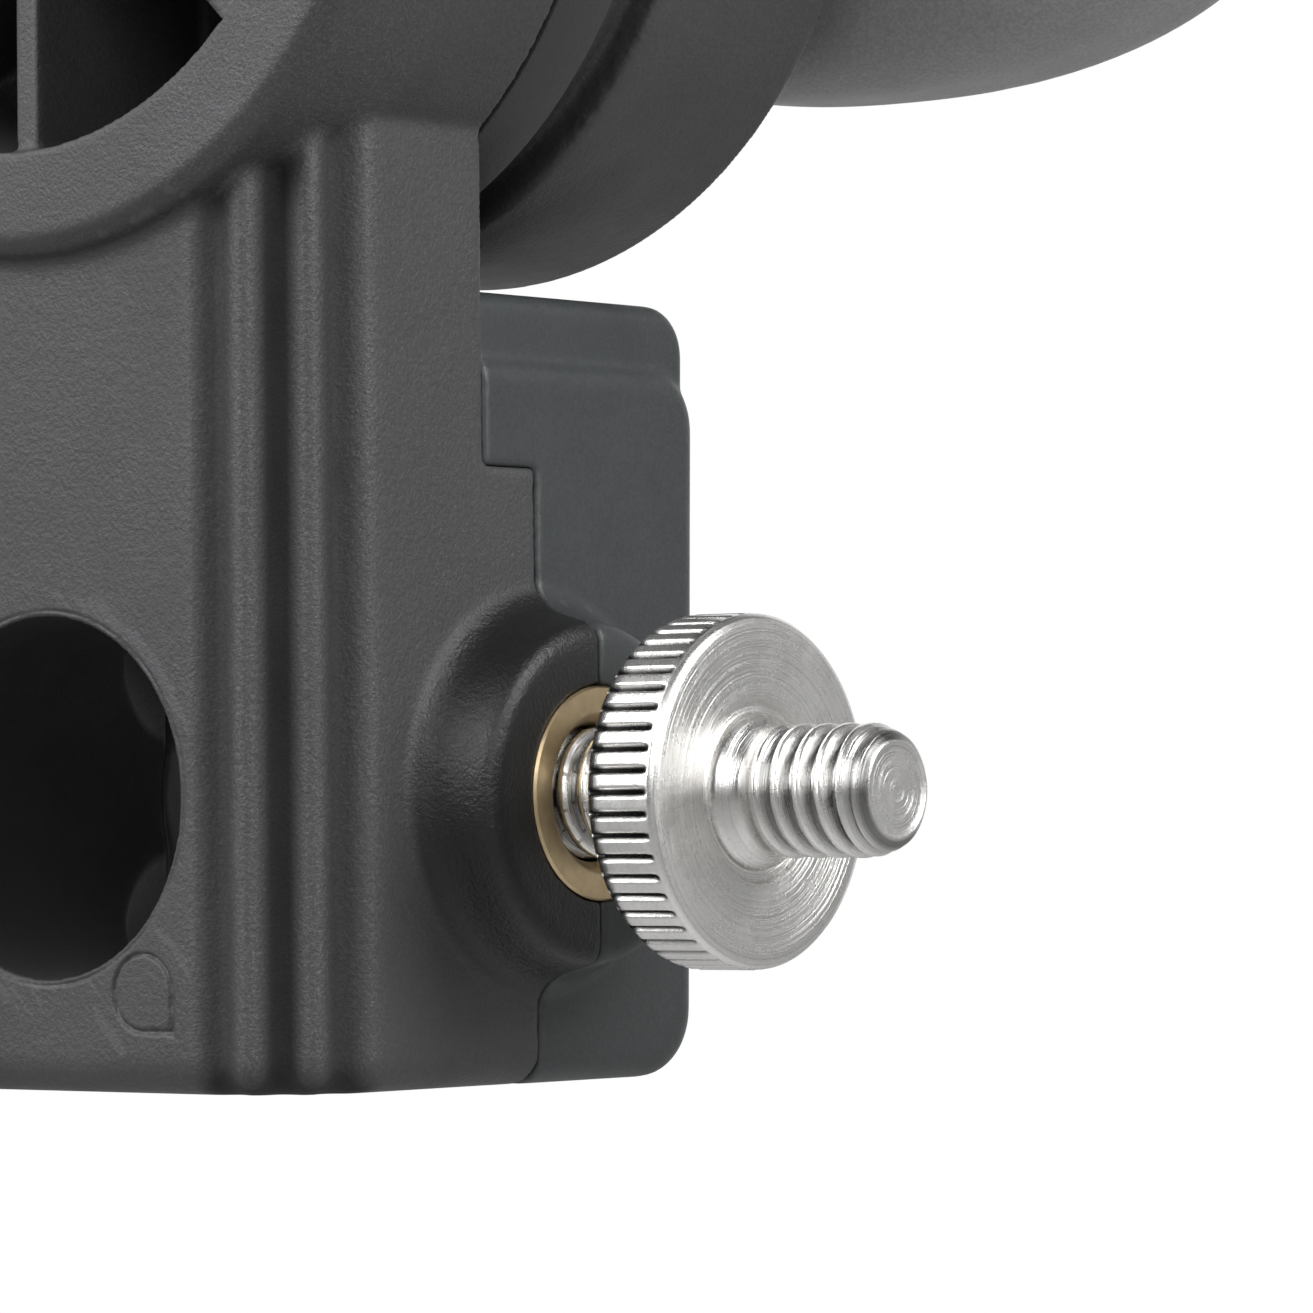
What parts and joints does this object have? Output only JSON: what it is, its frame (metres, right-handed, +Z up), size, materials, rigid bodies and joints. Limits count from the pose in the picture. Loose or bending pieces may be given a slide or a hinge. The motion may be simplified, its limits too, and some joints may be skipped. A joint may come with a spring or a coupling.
{
  "type": "umbrella swivel bracket",
  "caption": "Clamshell stand block with a cored tilt hub and a toothed swivel arm, paddle clamp lever, umbrella hole, spigot socket and knurled lock screws with quarter-inch studs.",
  "frame": {"origin": "centre of the stand socket's mouth, on the block's underside, in the plane where the block's halves meet", "axes": "+Z up along the stand and the socket, -Y to the hub's open front, +X along the stand lock screw; the tilt axis is parallel to Y"},
  "size_m": [0.0639, 0.064, 0.15],
  "materials": {
    "grained_plastic": "fine spark-eroded grain, semi-matt black",
    "smooth_plastic": "smooth satin black with a slight cool cast",
    "tooth_plastic": "satin black",
    "lever_plastic": "satin black, lightly polished by hands",
    "brass": "turned, slightly dulled",
    "spigot_brass": "turned",
    "nickel": "nickel plate over turned brass, bright and worn",
    "steel": "zinc plate",
    "spring_steel": "drawn wire",
    "black_steel": "black oxide"
  },
  "bodies": {
    "base": {"front_body_half": "grained_plastic", "rear_body_half": "smooth_plastic", "fixed_tooth_plate": "tooth_plastic", "release_spring": "spring_steel", "tilt_bolt": "black_steel", "stand_lock_insert": "brass", "body_screw_1": "black_steel", "body_screw_2": "black_steel", "body_screw_3": "black_steel", "body_screw_4": "black_steel"},
    "stand_lock_pad": {"stand_lock_pad": "brass"},
    "stand_lock_screw": {"stand_lock_screw": "nickel"},
    "clamp": {"thrust_washer": "steel"},
    "arm": {"arm_body": "grained_plastic", "arm_cap": "smooth_plastic", "moving_tooth_ring": "tooth_plastic", "stud_lock_insert": "brass", "umbrella_lock_insert": "brass", "head_screw_1": "black_steel", "head_screw_2": "black_steel", "head_screw_3": "black_steel", "head_screw_4": "black_steel"},
    "stud_lock_pad": {"stud_lock_pad": "brass"},
    "stud_lock_screw": {"stud_lock_screw": "nickel"},
    "umbrella_lock_pad": {"umbrella_lock_pad": "brass"},
    "umbrella_lock_screw": {"umbrella_lock_screw": "nickel"},
    "spigot": {"top_stud": "spigot_brass"},
    "lever_nut": {"lever_insert": "steel", "lever_screw": "black_steel", "lever_spring": "spring_steel"},
    "lever_handle": {"lever_handle": "lever_plastic"}
  },
  "joints": [
    {"name": "clamp_travel", "type": "slide", "parent": "base", "child": "clamp", "axis": [0, 1, 0], "range_m": [-0.00156, 0.00125], "deforming": ["release_spring"]},
    {"name": "tilt", "type": "hinge", "parent": "clamp", "child": "arm", "pos_m": [0, 0, 0.0635], "axis": [0, 1, 0], "range_deg": [-90, 90]},
    {"name": "lever_turn", "type": "hinge", "parent": "clamp", "child": "lever_nut", "pos_m": [0, 0, 0.0635], "axis": [0, 1, 0], "range_deg": [-452, 362]},
    {"name": "lever_pull", "type": "slide", "parent": "lever_nut", "child": "lever_handle", "axis": [0, 1, 0], "range_m": [0, 0.0038], "stiffness_N_per_m": 600, "springref_m": -0.002, "deforming": ["lever_spring"]},
    {"name": "stand_lock_travel", "type": "slide", "parent": "base", "child": "stand_lock_pad", "axis": [1, 0, 0], "range_m": [-0.00508, 0.00254]},
    {"name": "stand_lock_turn", "type": "hinge", "parent": "stand_lock_pad", "child": "stand_lock_screw", "pos_m": [0.0105, 0, 0.014], "axis": [1, 0, 0], "range_deg": [-1443, 723]},
    {"name": "stud_lock_travel", "type": "slide", "parent": "arm", "child": "stud_lock_pad", "axis": [1, 0, 0], "range_m": [-0.00212, 0.00254]},
    {"name": "stud_lock_turn", "type": "hinge", "parent": "stud_lock_pad", "child": "stud_lock_screw", "pos_m": [0.0105, 0, 0.1145], "axis": [1, 0, 0], "range_deg": [-603, 723]},
    {"name": "umbrella_lock_travel", "type": "slide", "parent": "arm", "child": "umbrella_lock_pad", "axis": [0, -1, 0], "range_m": [-0.002, 0.002]},
    {"name": "umbrella_lock_turn", "type": "hinge", "parent": "umbrella_lock_pad", "child": "umbrella_lock_screw", "pos_m": [0, -0.0053, 0.0975], "axis": [0, -1, 0], "range_deg": [-723, 723]},
    {"name": "spigot_turn", "type": "hinge", "parent": "arm", "child": "spigot", "pos_m": [0, 0, 0.1064], "axis": [0, 0, 1], "continuous": true}
  ],
  "couplings": [
    {"joint": "lever_turn", "follows": "clamp_travel", "rad_per_m": 5026.5},
    {"joint": "stand_lock_turn", "follows": "stand_lock_travel", "rad_per_m": 4947.4},
    {"joint": "stud_lock_turn", "follows": "stud_lock_travel", "rad_per_m": 4947.4},
    {"joint": "umbrella_lock_turn", "follows": "umbrella_lock_travel", "rad_per_m": 6283.2}
  ]
}
